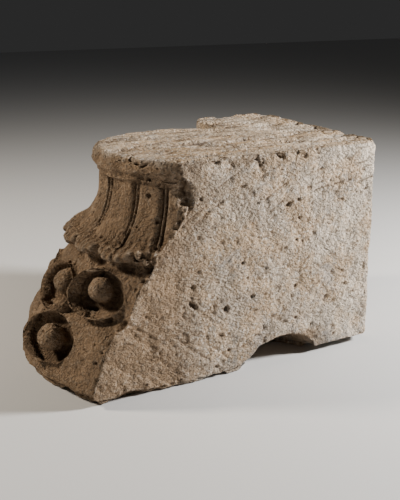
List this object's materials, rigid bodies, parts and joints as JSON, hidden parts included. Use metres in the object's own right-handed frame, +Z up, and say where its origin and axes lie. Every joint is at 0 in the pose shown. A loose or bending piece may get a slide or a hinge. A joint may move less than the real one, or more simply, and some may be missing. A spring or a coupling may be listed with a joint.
{
  "type": "romanesque capital",
  "caption": "Carved limestone capital of an engaged column: round roll, crown of turned-out leaves, rosettes with balls on a flared bell, plain tail block, one flank cut flat.",
  "frame": {"origin": "on the axis of the column shaft, in the plane of the broad bed that the stone lies on", "axes": "+Z up along the shaft's axis from the broad bed to the round shaft bed, +X from the carved front to the tail, -Y towards the flank that was cut flat"},
  "size_m": [0.4855, 0.311, 0.286],
  "materials": {
    "limestone": "Matte, granular buff limestone with warm brown patina in the carving, open pores, pecked tool marks and worn pale edges."
  },
  "bodies": {
    "root": {"capital": "limestone"}
  },
  "joints": []
}
